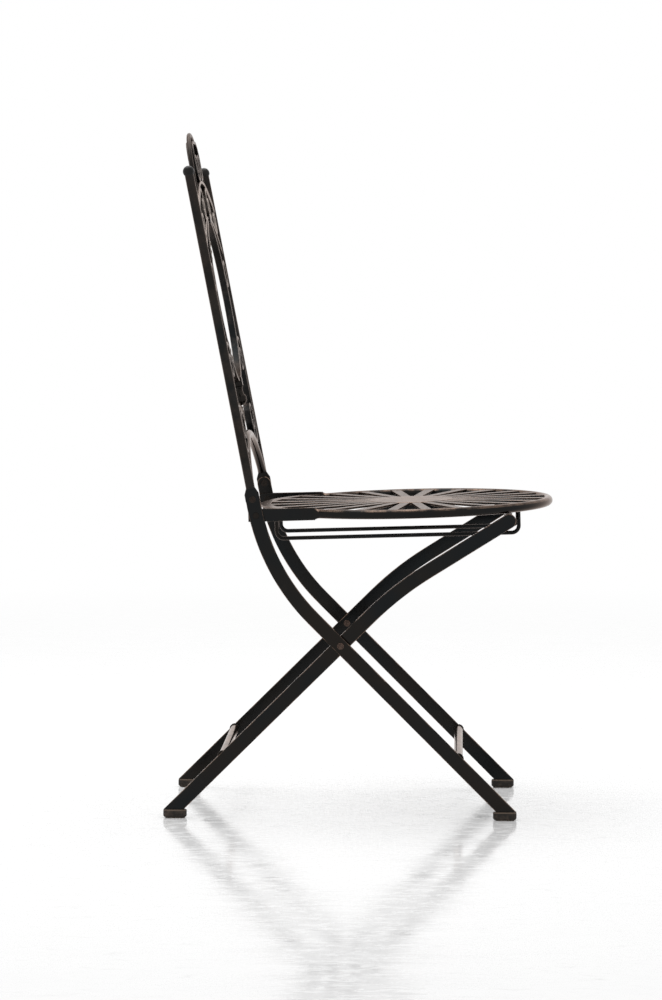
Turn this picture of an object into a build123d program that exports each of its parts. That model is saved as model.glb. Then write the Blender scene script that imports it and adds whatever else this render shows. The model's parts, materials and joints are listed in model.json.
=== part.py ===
from build123d import *
import os
from math import asin, atan2, cos, degrees, radians, sin, sqrt, tan

# Folding garden chair: crossed flat-bar legs, a round sunburst seat that folds up, a scrollwork back.
# X points forward, Y to the chair's left, Z up. The origin is on the floor under the middle of the box.
# Lengths are in millimetres and angles in degrees.

# Flat-bar legs
leg_width = 20.0
leg_thickness = 5.0
front_leg_spacing = 310.0
cross_pivot_height = 244.3
front_leg_slope = 45.1
front_leg_bend_reach = 145.3
front_leg_bend_radius = 300.0
rear_leg_slope = 44.7
rear_leg_upper_slope = 32.0
rear_leg_bend_radius = 450.0

# Feet
foot_length = 33.0
foot_width = 14.0
foot_height = 12.0
foot_sole = 4.0
foot_wall = 1.5
foot_entry_height = 13.8
foot_corner = 6.0
foot_edge = 1.0

# Stretchers between the legs
stretcher_diameter = 12.4
stretcher_reach = 228.0
stretcher_offset = 5.0

# Back posts and their ball finials
back_lean = 10.95
seat_pivot_rise = 80.8
post_rivet_rise = 104.2
post_diameter = 12.7
post_wall = 1.2
post_height = 463.0
post_flat_width = 20.0
post_flat_thickness = 4.0
post_shoulder_rise = 16.0
post_taper_length = 8.0
post_floor = 6.0
finial_diameter = 16.0
finial_plug_length = 12.0
finial_plug_clearance = 0.05

# Rivets, spacers and running clearances
rivet_diameter = 6.0
rivet_head_diameter = 9.4
rivet_head_height = 2.2
rivet_dimple_diameter = 4.2
rivet_dimple_depth = 1.0
countersink_depth = 1.6
spacer_diameter = 15.0
pin_clearance = 0.05
side_clearance = 0.2
rear_leg_play = 0.8
crossbar_end_gap = 0.3

# Seat ring with flattened hinge tabs
seat_tilt = 1.6
seat_centre_reach = 214.2
ring_radius = 195.5
ring_tube_diameter = 13.0
ring_end_bend_radius = 9.0
tab_height = 18.0
tab_thickness = 4.0
tab_tail = 11.0
tab_taper_length = 7.0
seat_rest_gap = 1.0

# Sunburst of slats, hub and rear rim
slat_pairs = 12
slat_inner_width = 12.0
slat_outer_width = 14.0
slat_thickness = 3.0
slat_level = 2.5
hub_radius = 60.0
hub_thickness = 3.4
hub_edge = 0.8
hub_ring_depth = 10.0
hub_ring_wall = 4.0
rim_tail = 1.4
rim_width = 15.0
rim_thickness = 3.0

# Guide rods under the seat and the crossbar that slides in them
guide_spacing = 126.0
guide_rod_diameter = 5.6
guide_drop = 40.4
guide_bend_radius = 10.0
guide_slat_index = 1
crossbar_diameter = 12.0
crossbar_stop_gap = 5.6

# Scrollwork of the back, with heights measured up the post from its rivet
strap_depth = 10.0
strap_thickness = 4.0
bottom_arch_diameter = 12.0
bottom_arch_spring = 18.3
bottom_arch_apex = 83.4
upper_rail_drop = 15.0
rail_spacing = 51.0
mid_rail_radius = 255.0
top_arch_diameter = 6.0
top_arch_radius = 80.0
top_arch_height = 69.0
medallion_radius = 118.0
side_ring_radius = 20.0
upper_scroll_y = 88.0
upper_scroll_half_span = 34.0
arch_scroll_half_span = 22.0
arch_scroll_height = 57.0
lower_scroll_gap = 0.3
lower_scroll_top_gap = 2.2
lower_scroll_bottom_radius = 34.0
lower_scroll_top_radius = 28.0
volute_shrink = 0.64
volute_turns = 3
leaf_length = 66.0
leaf_half_width = 15.0
leaf_depth = 9.0
leaf_bevel = 35.0
petal_half_width = 10.0
petal_spread = 34.0
palmette_half_width = 9.0
palmette_spread = 27.0
fleur_stem_length = 27.0
fleur_knot_radius = 9.0
fleur_petal_sink = 1.4
fleur_stem_diameter = 10.0
collar_width = 15.0
collar_wall = 2.0
collar_clearance = 0.1

os.makedirs("parts", exist_ok=True)


def save(piece, name):
    """Label a finished piece and write it as one file."""
    piece.part.label = name
    export_step(piece.part, f"parts/{name}.step")


def save_pair(right, name):
    """Write the right-hand piece and its mirror image on the chair's left."""
    save(right, f"{name}_right")
    with BuildPart() as left:
        mirror(right.part, about=Plane.XZ)
    save(left, f"{name}_left")


def heading(angle):
    """Unit vector in the side view for an angle above +X."""
    return Vector(cos(radians(angle)), 0, sin(radians(angle)))


def crossing(point_a, angle_a, point_b, angle_b):
    """Point where two lines of the side view cross."""
    along_a = heading(angle_a)
    along_b = heading(angle_b)
    gap = point_b - point_a
    turn = along_a.X * along_b.Z - along_a.Z * along_b.X
    reach = (gap.X * along_b.Z - gap.Z * along_b.X) / turn
    return point_a + along_a * reach


def side_plane(y):
    """Plane facing the chair's right, whose own x is X and whose own y is Z."""
    return Plane(origin=(0, y, 0), x_dir=(1, 0, 0), z_dir=(0, -1, 0))


def flat(point):
    """Side-view point as a pair for a sketch on a side plane."""
    return (point.X, point.Z)


def crosswise(point, y):
    """Place for a cylinder whose axis runs along Y."""
    return Location((point.X, y, point.Z), (90, 0, 0))


# Sideways stack, as distances from the middle plane
front_leg_outer = front_leg_spacing / 2 + leg_thickness / 2
front_leg_inner = front_leg_outer - leg_thickness
tab_outer = front_leg_inner - side_clearance
tab_inner = tab_outer - tab_thickness
tab_middle = tab_outer - tab_thickness / 2
rear_leg_outer = tab_inner - rear_leg_play
rear_leg_inner = rear_leg_outer - leg_thickness
post_middle = front_leg_outer + post_flat_thickness / 2
post_inner = post_middle - post_diameter / 2

# Side view, first from the cross pivot and then shifted so that the box is centred on the origin
post_angle = 90 + back_lean
bend_offset = heading(180 - front_leg_slope) * front_leg_bend_reach
seat_pivot_offset = bend_offset + heading(post_angle) * seat_pivot_rise
ring_front = seat_centre_reach + ring_radius
box_front = seat_pivot_offset.X + ring_front * cos(radians(seat_tilt)) + ring_tube_diameter / 2
foot_drop = cross_pivot_height - foot_entry_height
rear_foot_reach = foot_drop / tan(radians(rear_leg_slope))
front_foot_reach = foot_drop / tan(radians(front_leg_slope))
box_rear = -rear_foot_reach - foot_length / 2
cross_pivot = Vector(-(box_front + box_rear) / 2, 0, cross_pivot_height)
front_bend = cross_pivot + bend_offset
seat_pivot = cross_pivot + seat_pivot_offset
post_rivet = front_bend + heading(post_angle) * post_rivet_rise
front_foot_x = cross_pivot.X + front_foot_reach
rear_foot_x = cross_pivot.X - rear_foot_reach

# Planes of the seat and of the back
seat_plane = Plane(
    origin=seat_pivot,
    x_dir=heading(seat_tilt),
    z_dir=heading(seat_tilt + 90),
)
back_plane = Plane(
    origin=post_rivet,
    x_dir=(0, 1, 0),
    z_dir=heading(back_lean),
)

# Guide rods and crossbar: the bar stands just behind the front uprights, under the ring
slat_step = 180 / slat_pairs
guide_slat_angle = slat_step * (guide_slat_index + 0.5)
guide_y = guide_spacing / 2
guide_front = seat_centre_reach + guide_y / tan(radians(guide_slat_angle))
rim_outer = seat_centre_reach + rim_tail
rim_inner = rim_outer - rim_width
guide_rear = seat_centre_reach - sqrt(rim_inner**2 - guide_y**2)
crossbar_reach = guide_front - guide_rod_diameter / 2 - crossbar_diameter / 2 - crossbar_stop_gap
leg_top_drop = ring_tube_diameter / 2 + leg_width / 2 + seat_rest_gap
leg_top = seat_pivot + heading(seat_tilt) * crossbar_reach - heading(seat_tilt + 90) * leg_top_drop
rear_bend = crossing(cross_pivot, rear_leg_slope, leg_top, rear_leg_upper_slope)


def leg_outline(foot_x, outward, bend, radius, top):
    """Sketch a bent flat bar from inside its foot up to its rounded top."""
    down = (cross_pivot - bend).normalized()
    toe = cross_pivot + down * (cross_pivot_height / abs(down.Z))
    with BuildLine() as middle_line:
        FilletPolyline(flat(toe), flat(bend), flat(top), radius=radius)
    trace(middle_line.wire(), line_width=leg_width)
    with Locations(flat(top)):
        Circle(leg_width / 2)
    with Locations((foot_x, foot_sole)):
        Rectangle(
            cross_pivot_height,
            cross_pivot_height,
            align=(Align.CENTER, Align.MAX),
            mode=Mode.SUBTRACT,
        )
    wall_x = foot_x + outward * (foot_length / 2 - foot_wall)
    keep_side = Align.MIN if outward > 0 else Align.MAX
    with Locations((wall_x, 0)):
        Rectangle(
            leg_width * 2,
            foot_height * 2,
            align=(keep_side, Align.CENTER),
            mode=Mode.SUBTRACT,
        )


def foot_block(foot_x, middle_y):
    """Foot cap with round corners and eased edges above and below."""
    with BuildSketch(Plane.XY) as plan:
        with Locations((foot_x, middle_y)):
            RectangleRounded(foot_length, foot_width, foot_corner)
    extrude(plan.sketch, amount=foot_height)
    chamfer(faces().filter_by(Axis.Z).edges(), foot_edge)


# Front legs
with BuildPart() as front_leg:
    with BuildSketch(side_plane(-front_leg_inner)):
        leg_outline(front_foot_x, 1, front_bend, front_leg_bend_radius, post_rivet)
        with Locations(flat(cross_pivot), flat(seat_pivot), flat(post_rivet)):
            Circle(rivet_diameter / 2, mode=Mode.SUBTRACT)
    extrude(amount=leg_thickness)
    with Locations(crosswise(seat_pivot, -front_leg_outer + countersink_depth / 2)):
        Cone(
            rivet_diameter / 2,
            rivet_head_diameter / 2,
            countersink_depth,
            mode=Mode.SUBTRACT,
        )
    with Locations(crosswise(post_rivet, -front_leg_inner - countersink_depth / 2)):
        Cone(
            rivet_head_diameter / 2,
            rivet_diameter / 2,
            countersink_depth,
            mode=Mode.SUBTRACT,
        )
save_pair(front_leg, "front_leg")

with BuildPart() as front_foot:
    foot_block(front_foot_x, -front_leg_spacing / 2)
    add(front_leg.part, mode=Mode.SUBTRACT)
save_pair(front_foot, "front_foot")

# Rear legs
with BuildPart() as rear_leg:
    with BuildSketch(side_plane(-rear_leg_inner)):
        leg_outline(rear_foot_x, -1, rear_bend, rear_leg_bend_radius, leg_top)
        with Locations(flat(cross_pivot)):
            Circle(rivet_diameter / 2 + pin_clearance, mode=Mode.SUBTRACT)
    extrude(amount=leg_thickness)
save_pair(rear_leg, "rear_leg")

with BuildPart() as rear_foot:
    foot_block(rear_foot_x, -(rear_leg_inner + rear_leg_outer) / 2)
    add(rear_leg.part, mode=Mode.SUBTRACT)
save_pair(rear_foot, "rear_foot")

# Stretchers, set towards the upper edge of the legs
front_stretcher_point = (
    cross_pivot
    + heading(-front_leg_slope) * stretcher_reach
    + heading(90 - front_leg_slope) * stretcher_offset
)
rear_stretcher_point = (
    cross_pivot
    + heading(180 + rear_leg_slope) * stretcher_reach
    + heading(90 + rear_leg_slope) * stretcher_offset
)

with BuildPart() as front_stretcher:
    with Locations(crosswise(front_stretcher_point, 0)):
        Cylinder(stretcher_diameter / 2, 2 * front_leg_inner)
save(front_stretcher, "front_stretcher")

with BuildPart() as rear_stretcher:
    with Locations(crosswise(rear_stretcher_point, 0)):
        Cylinder(stretcher_diameter / 2, 2 * rear_leg_inner)
save(rear_stretcher, "rear_stretcher")


def rivet_shank(point, inner, outer):
    """Shank from an inner to an outer distance on the chair's right."""
    with Locations(crosswise(point, -(inner + outer) / 2)):
        Cylinder(rivet_diameter / 2, outer - inner)


def rivet_head(point, seat, outward):
    """Round head with a dimple, seated at a distance from the middle plane."""
    with Locations(crosswise(point, -(seat + outward * rivet_head_height / 2))):
        Cylinder(rivet_head_diameter / 2, rivet_head_height)
    face = seat + outward * rivet_head_height
    with Locations(crosswise(point, -(face - outward * rivet_dimple_depth / 2))):
        Cylinder(rivet_dimple_diameter / 2, rivet_dimple_depth, mode=Mode.SUBTRACT)


# Rivets that the crossed legs turn on, with a spacer between the legs
spacer_inner = rear_leg_outer + side_clearance
with BuildPart() as pivot_spacers:
    with BuildSketch(side_plane(-spacer_inner)):
        with Locations(flat(cross_pivot)):
            Circle(spacer_diameter / 2)
            Circle(rivet_diameter / 2, mode=Mode.SUBTRACT)
    extrude(amount=front_leg_inner - spacer_inner)
    mirror(about=Plane.XZ)
save(pivot_spacers, "pivot_spacers")

with BuildPart() as cross_pivot_rivets:
    rivet_shank(cross_pivot, rear_leg_inner - side_clearance, front_leg_outer)
    rivet_head(cross_pivot, front_leg_outer, 1)
    rivet_head(cross_pivot, rear_leg_inner - side_clearance, -1)
    mirror(about=Plane.XZ)
save(cross_pivot_rivets, "cross_pivot_rivets")

# Rivets that the seat turns on, flush with the outside of the front legs
with BuildPart() as seat_pivot_rivets:
    rivet_shank(seat_pivot, tab_inner - side_clearance, front_leg_outer)
    rivet_head(seat_pivot, tab_inner - side_clearance, -1)
    with Locations(crosswise(seat_pivot, -front_leg_outer + countersink_depth / 2)):
        Cone(rivet_diameter / 2, rivet_head_diameter / 2, countersink_depth)
    mirror(about=Plane.XZ)
save(seat_pivot_rivets, "seat_pivot_rivets")

# Rivets that hold the posts on the front legs, flush inside so that the seat tabs pass
post_outer_face = front_leg_outer + post_flat_thickness
with BuildPart() as post_rivets:
    rivet_shank(post_rivet, front_leg_inner, post_outer_face)
    rivet_head(post_rivet, post_outer_face, 1)
    with Locations(crosswise(post_rivet, -front_leg_inner - countersink_depth / 2)):
        Cone(rivet_head_diameter / 2, rivet_diameter / 2, countersink_depth)
    mirror(about=Plane.XZ)
save(post_rivets, "post_rivets")

# Back posts: a tube above that tapers out to a flat below, where it is riveted to the leg
finial_seat = post_height - sqrt((finial_diameter / 2) ** 2 - (post_diameter / 2) ** 2)
post_axis_plane = Plane(
    origin=post_rivet - Vector(0, post_middle, 0),
    x_dir=(0, 1, 0),
    z_dir=heading(post_angle),
)
post_flat_plane = Plane(
    origin=post_rivet - Vector(0, post_middle, 0),
    x_dir=heading(back_lean),
    z_dir=(0, -1, 0),
)
post_bore = post_diameter - 2 * post_wall
post_taper_start = post_shoulder_rise - post_taper_length

with BuildPart() as back_post:
    with BuildSketch(post_axis_plane.offset(post_shoulder_rise)):
        Circle(post_diameter / 2)
    extrude(amount=finial_seat - post_shoulder_rise)
    with BuildSketch(post_flat_plane):
        Circle(post_flat_width / 2)
        with BuildLine():
            Polyline(
                (-post_flat_width / 2, 0),
                (post_flat_width / 2, 0),
                (post_flat_width / 2, post_taper_start),
                (post_diameter / 2, post_shoulder_rise),
                (-post_diameter / 2, post_shoulder_rise),
                (-post_flat_width / 2, post_taper_start),
                close=True,
            )
        make_face()
    extrude(amount=post_flat_thickness / 2, both=True)
    with BuildSketch(post_flat_plane):
        Circle(rivet_diameter / 2)
    extrude(amount=post_flat_thickness, both=True, mode=Mode.SUBTRACT)
    with BuildSketch(post_axis_plane.offset(post_shoulder_rise + post_floor)):
        Circle(post_bore / 2)
    extrude(amount=post_height, mode=Mode.SUBTRACT)
save_pair(back_post, "back_post")

with BuildPart() as post_finial:
    with Locations(post_axis_plane.offset(post_height).location):
        Sphere(finial_diameter / 2)
    split(bisect_by=post_axis_plane.offset(finial_seat), keep=Keep.TOP)
    with BuildSketch(post_axis_plane.offset(finial_seat)):
        Circle(post_bore / 2 - finial_plug_clearance)
    extrude(amount=-finial_plug_length)
save_pair(post_finial, "post_finial")


def clear_posts():
    """Cut away the room that the two posts take up."""
    for side in (-1, 1):
        axis_plane = Plane(
            origin=post_rivet + Vector(0, side * post_middle, 0),
            x_dir=(0, 1, 0),
            z_dir=heading(post_angle),
        )
        with Locations(axis_plane.location):
            Cylinder(post_diameter / 2, 2 * post_height, mode=Mode.SUBTRACT)


def strap(path):
    """Sweep the flat strap's section along a line of the back, standing on edge."""
    section_plane = Plane(origin=path @ 0, x_dir=back_plane.z_dir, z_dir=path % 0)
    with BuildSketch(section_plane) as section:
        Rectangle(strap_depth, strap_thickness)
    sweep(section.sketch, path=path)


def volute(point, angle, turn, radius):
    """Half circles of falling radius, each tangent to the last, from a point and a heading."""
    x, y = point
    for _ in range(volute_turns):
        towards = radians(angle + 90 * turn)
        middle = (x + radius * cos(towards), y + radius * sin(towards))
        CenterArc(middle, radius, angle - 90 * turn, 180 * turn)
        x = middle[0] + radius * cos(towards)
        y = middle[1] + radius * sin(towards)
        angle += 180
        radius *= volute_shrink


def lying_scroll(plane, half_span, line_top, radius):
    """C-scroll that opens downwards: a straight top line with a volute at each end."""
    with BuildLine(plane) as line:
        Line((-half_span, line_top), (half_span, line_top))
        volute((half_span, line_top), 0, -1, radius)
        volute((-half_span, line_top), 180, 1, radius)
    strap(line.wire())


def petal(base, angle, length, half_width):
    """Leaf outline between two points, from its base along a heading."""
    ahead = Vector(cos(radians(angle)), sin(radians(angle)))
    beside = Vector(-ahead.Y, ahead.X)
    start = Vector(*base)
    tip = start + ahead * length
    middle = start + ahead * (length / 2)
    with BuildSketch(back_plane) as outline:
        with BuildLine():
            ThreePointArc(start, middle + beside * half_width, tip)
            ThreePointArc(tip, middle - beside * half_width, start)
        make_face()
    extrude(outline.sketch, amount=leaf_depth / 2, both=True, taper=leaf_bevel)


def rail(radius):
    """Arched strap from post to post, about the middle that the two rails share."""
    with BuildSketch(rail_plane) as bar:
        Circle(radius + strap_thickness / 2)
        Circle(radius - strap_thickness / 2, mode=Mode.SUBTRACT)
        Rectangle(2 * post_middle, 2 * radius, align=(Align.CENTER, Align.MIN), mode=Mode.INTERSECT)
    extrude(bar.sketch, amount=strap_depth / 2, both=True)
    clear_posts()


# Rails and arches of the back
upper_rail_rise = post_height - upper_rail_drop
mid_rail_rise = upper_rail_rise - rail_spacing
mid_rail_bottom = mid_rail_rise - strap_thickness / 2
upper_rail_radius = mid_rail_radius + rail_spacing
rail_middle = mid_rail_rise - mid_rail_radius
rail_plane = Plane(
    origin=back_plane.from_local_coords((0, rail_middle, 0)),
    x_dir=back_plane.x_dir,
    z_dir=back_plane.z_dir,
)

with BuildPart() as bottom_arch:
    with BuildLine(back_plane) as arch_line:
        ThreePointArc(
            (-post_middle, bottom_arch_spring),
            (0, bottom_arch_apex),
            (post_middle, bottom_arch_spring),
        )
    with BuildSketch(Plane(origin=arch_line.wire() @ 0, z_dir=arch_line.wire() % 0)):
        Circle(bottom_arch_diameter / 2)
    sweep(path=arch_line.wire())
    clear_posts()
save(bottom_arch, "bottom_arch")

with BuildPart() as mid_rail:
    rail(mid_rail_radius)
save(mid_rail, "mid_rail")

with BuildPart() as upper_rail:
    rail(upper_rail_radius)
save(upper_rail, "upper_rail")

# Top arch, a round bar that springs from the upper rail where the two middle lines cross
top_arch_middle = upper_rail_radius + top_arch_height - top_arch_radius
crossing_rise = (upper_rail_radius**2 - top_arch_radius**2 - top_arch_middle**2) / (2 * top_arch_middle)
foot_angle = degrees(asin(crossing_rise / top_arch_radius))
with BuildPart() as top_arch:
    with BuildLine(rail_plane) as top_line:
        CenterArc((0, top_arch_middle), top_arch_radius, foot_angle, 180 - 2 * foot_angle)
    with BuildSketch(Plane(origin=top_line.wire() @ 0, z_dir=top_line.wire() % 0)):
        Circle(top_arch_diameter / 2)
    sweep(path=top_line.wire())
    with BuildSketch(rail_plane):
        Circle(upper_rail_radius + strap_thickness / 2)
    extrude(amount=strap_depth, both=True, mode=Mode.SUBTRACT)
save(top_arch, "top_arch")

# Scroll inside the top arch, whose volutes stand on the upper rail
arch_scroll_line = upper_rail_radius + arch_scroll_height
volute_foot = upper_rail_radius + strap_thickness
arch_scroll_radius = (arch_scroll_line**2 + arch_scroll_half_span**2 - volute_foot**2) / (
    2 * (arch_scroll_line + volute_foot)
)
with BuildPart() as arch_scroll:
    lying_scroll(rail_plane, arch_scroll_half_span, arch_scroll_line, arch_scroll_radius)
save(arch_scroll, "arch_scroll")

# Scrolls and leaf between the two rails, where each volute touches both rails
upper_scroll_reach = mid_rail_radius + rail_spacing / 2
upper_scroll_radius = rail_spacing / 2 - strap_thickness
upper_scroll_middle = sqrt(upper_scroll_reach**2 - upper_scroll_half_span**2)
upper_scroll_angle = asin(upper_scroll_y / upper_scroll_reach)
tangent = rail_plane.x_dir * cos(upper_scroll_angle) + rail_plane.y_dir * sin(upper_scroll_angle)
with BuildPart() as upper_scroll:
    lying_scroll(
        Plane(origin=rail_plane.origin, x_dir=tangent, z_dir=rail_plane.z_dir),
        upper_scroll_half_span,
        upper_scroll_middle + upper_scroll_radius,
        upper_scroll_radius,
    )
save_pair(upper_scroll, "upper_scroll")

palmette_height = rail_spacing - strap_thickness
with BuildPart() as palmette:
    petal((0, mid_rail_rise), 90, palmette_height + strap_thickness, palmette_half_width)
    for lean in (-palmette_spread, palmette_spread):
        petal((0, mid_rail_rise), 90 + lean, palmette_height - strap_thickness, palmette_half_width)
    add(mid_rail.part, mode=Mode.SUBTRACT)
    add(upper_rail.part, mode=Mode.SUBTRACT)
save(palmette, "palmette_leaf")

# Medallion ring hung from the middle rail, steadied by a small ring that rests on it beside each post
medallion_middle = mid_rail_bottom - medallion_radius
medallion_bottom = medallion_middle - medallion_radius
with BuildPart() as medallion_ring:
    with BuildSketch(back_plane):
        with Locations((0, medallion_middle)):
            Circle(medallion_radius)
            Circle(medallion_radius - strap_thickness, mode=Mode.SUBTRACT)
    extrude(amount=strap_depth / 2, both=True)
save(medallion_ring, "medallion_ring")

side_ring_y = post_inner - side_ring_radius
side_ring_rise = medallion_middle + sqrt((medallion_radius + side_ring_radius) ** 2 - side_ring_y**2)
with BuildPart() as side_ring:
    with BuildSketch(back_plane):
        with Locations((-side_ring_y, side_ring_rise)):
            Circle(side_ring_radius)
            Circle(side_ring_radius - strap_thickness, mode=Mode.SUBTRACT)
    extrude(amount=strap_depth / 2, both=True)
save_pair(side_ring, "side_ring")

# Leaves inside the medallion, one hanging and one standing
medallion_top_line = medallion_middle + medallion_radius - strap_thickness / 2
medallion_bottom_line = medallion_bottom + strap_thickness / 2
with BuildPart() as hanging_leaf:
    petal((0, medallion_top_line), -90, leaf_length, leaf_half_width)
    add(medallion_ring.part, mode=Mode.SUBTRACT)
save(hanging_leaf, "hanging_leaf")

with BuildPart() as standing_leaf:
    petal((0, medallion_bottom_line), 90, leaf_length, leaf_half_width)
    add(medallion_ring.part, mode=Mode.SUBTRACT)
save(standing_leaf, "standing_leaf")

# Scrolls beside the posts, below the medallion, whose lower volutes stand on the bottom arch
arch_rise = bottom_arch_apex - bottom_arch_spring
arch_radius = (post_middle**2 + arch_rise**2) / (2 * arch_rise)
arch_middle = bottom_arch_apex - arch_radius
lower_scroll_line = -post_inner + strap_thickness / 2
volute_middle_y = lower_scroll_line + lower_scroll_bottom_radius
volute_edge = lower_scroll_bottom_radius + strap_thickness / 2
volute_reach = arch_radius + bottom_arch_diameter / 2 + lower_scroll_gap + volute_edge
lower_scroll_bottom = arch_middle + sqrt(volute_reach**2 - volute_middle_y**2)
upper_volute_y = lower_scroll_line + lower_scroll_top_radius
upper_volute_edge = lower_scroll_top_radius + strap_thickness / 2
upper_volute_reach = medallion_radius + lower_scroll_top_gap + upper_volute_edge
lower_scroll_top = medallion_middle - sqrt(upper_volute_reach**2 - upper_volute_y**2)
with BuildPart() as lower_scroll:
    with BuildLine(back_plane) as lower_line:
        Line((lower_scroll_line, lower_scroll_bottom), (lower_scroll_line, lower_scroll_top))
        volute((lower_scroll_line, lower_scroll_top), 90, -1, lower_scroll_top_radius)
        volute((lower_scroll_line, lower_scroll_bottom), -90, 1, lower_scroll_bottom_radius)
    strap(lower_line.wire())
save_pair(lower_scroll, "lower_scroll")

# Three-petalled fleur between the medallion and the bottom arch
fleur_knot_rise = medallion_bottom_line - fleur_stem_length
fleur_petal_length = fleur_knot_rise - bottom_arch_apex - bottom_arch_diameter / 2 + fleur_petal_sink
fleur_knot = back_plane.from_local_coords((0, fleur_knot_rise, 0))
with BuildPart() as fleur:
    for lean in (-petal_spread, 0, petal_spread):
        petal((0, fleur_knot_rise), -90 + lean, fleur_petal_length, petal_half_width)
    with BuildSketch(Plane(origin=fleur_knot, z_dir=heading(post_angle))):
        Circle(fleur_stem_diameter / 2)
    extrude(amount=fleur_stem_length)
    with Locations(Location(fleur_knot)):
        Sphere(fleur_knot_radius)
    add(medallion_ring.part, mode=Mode.SUBTRACT)
    add(bottom_arch.part, mode=Mode.SUBTRACT)
save(fleur, "fleur")

# Collars that bind the medallion to the rail above and to the fleur below
with BuildPart() as scroll_collars:
    with BuildSketch(back_plane):
        with Locations((0, mid_rail_bottom), (0, medallion_bottom)):
            Rectangle(collar_width, 2 * (strap_thickness + collar_wall))
    extrude(amount=strap_depth / 2 + collar_wall, both=True)
    with BuildSketch(rail_plane):
        Circle(mid_rail_radius + strap_thickness / 2 + collar_clearance)
        Circle(mid_rail_radius - strap_thickness / 2 - collar_clearance, mode=Mode.SUBTRACT)
    extrude(amount=strap_depth / 2 + collar_clearance, both=True, mode=Mode.SUBTRACT)
    for bound in (medallion_ring, palmette, hanging_leaf, standing_leaf, fleur):
        add(bound.part, mode=Mode.SUBTRACT)
save(scroll_collars, "scroll_collars")

# Seat ring: one round bar whose rear ends bend straight back and are hammered flat into hinge tabs
bend_middle_y = tab_middle + ring_end_bend_radius
bend_middle_u = seat_centre_reach - sqrt((ring_radius + ring_end_bend_radius) ** 2 - bend_middle_y**2)
bend_angle = degrees(atan2(bend_middle_y, seat_centre_reach - bend_middle_u))
ring_end_angle = 180 - bend_angle


def seat_section(u, y):
    """Plane across the seat bar at a point of the seat."""
    return Plane(
        origin=seat_plane.from_local_coords((u, y, 0)),
        x_dir=(0, 1, 0),
        z_dir=-seat_plane.x_dir,
    )


with BuildPart() as seat_ring:
    with BuildLine(seat_plane) as ring_line:
        CenterArc((bend_middle_u, -bend_middle_y), ring_end_bend_radius, 90, bend_angle - 90)
        CenterArc((seat_centre_reach, 0), ring_radius, -ring_end_angle, 2 * ring_end_angle)
        CenterArc((bend_middle_u, bend_middle_y), ring_end_bend_radius, -bend_angle, bend_angle - 90)
    with BuildSketch(Plane(origin=ring_line.wire() @ 0, z_dir=ring_line.wire() % 0)):
        Circle(ring_tube_diameter / 2)
    sweep(path=ring_line.wire())
    for side in (-1, 1):
        tube_end = seat_section(bend_middle_u, side * tab_middle)
        with BuildSketch(tube_end):
            Circle(ring_tube_diameter / 2)
        with BuildSketch(tube_end.offset(tab_taper_length)):
            Rectangle(tab_thickness, tab_height)
        loft()
        with BuildSketch(tube_end.offset(tab_taper_length)):
            Rectangle(tab_thickness, tab_height)
        extrude(amount=bend_middle_u + tab_tail - tab_taper_length)
    with Locations(crosswise(seat_pivot, 0)):
        Cylinder(rivet_diameter / 2 + pin_clearance, 2 * front_leg_outer, mode=Mode.SUBTRACT)
save(seat_ring, "seat_ring")

# Rear rim that closes the seat's circle between the tabs
with BuildPart() as rear_rim:
    with BuildSketch(seat_plane.offset(slat_level)):
        with Locations((seat_centre_reach, 0)):
            Circle(rim_outer)
            Circle(rim_inner, mode=Mode.SUBTRACT)
            Rectangle(rim_outer, 2 * tab_inner, align=(Align.MAX, Align.CENTER), mode=Mode.INTERSECT)
    extrude(amount=rim_thickness)
    add(seat_ring.part, mode=Mode.SUBTRACT)
save(rear_rim, "rear_rim")

with BuildPart() as hub_disc:
    with BuildSketch(seat_plane.offset(slat_level)):
        with Locations((seat_centre_reach, 0)):
            Circle(hub_radius)
    extrude(amount=hub_thickness)
    chamfer(hub_disc.faces().sort_by(Axis(seat_pivot, seat_plane.z_dir))[-1].edges(), hub_edge)
save(hub_disc, "hub_disc")

# Ring on edge under the hub, which carries the hub and the inner ends of the slats
with BuildPart() as hub_ring:
    with BuildSketch(seat_plane.offset(slat_level)):
        with Locations((seat_centre_reach, 0)):
            Circle(hub_radius + hub_ring_wall / 2)
            Circle(hub_radius - hub_ring_wall / 2, mode=Mode.SUBTRACT)
    extrude(amount=-hub_ring_depth)
save(hub_ring, "hub_ring")

# Slats of the sunburst, a pair to each node, one on the chair's right and one on its left
for pair in range(slat_pairs):
    slat_angle = slat_step * (pair + 0.5)
    on_rim = ring_radius * sin(radians(slat_angle)) < tab_inner and slat_angle > 90
    slat_end = rim_inner if on_rim else ring_radius
    with BuildPart() as seat_slats:
        with BuildSketch(seat_plane.offset(slat_level)):
            with Locations(Location((seat_centre_reach, 0, 0), (0, 0, -slat_angle))):
                Trapezoid(
                    slat_outer_width,
                    slat_end,
                    degrees(atan2(2 * slat_end, slat_outer_width - slat_inner_width)),
                    rotation=90,
                    align=(Align.CENTER, Align.MAX),
                )
            with Locations((seat_centre_reach, 0)):
                Circle(slat_end, mode=Mode.INTERSECT)
                Circle(hub_radius, mode=Mode.SUBTRACT)
        extrude(amount=slat_thickness)
        add(seat_ring.part, mode=Mode.SUBTRACT)
        add(rear_rim.part, mode=Mode.SUBTRACT)
        mirror(about=Plane.XZ)
    save(seat_slats, f"seat_slats_{pair + 1:02d}")

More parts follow.
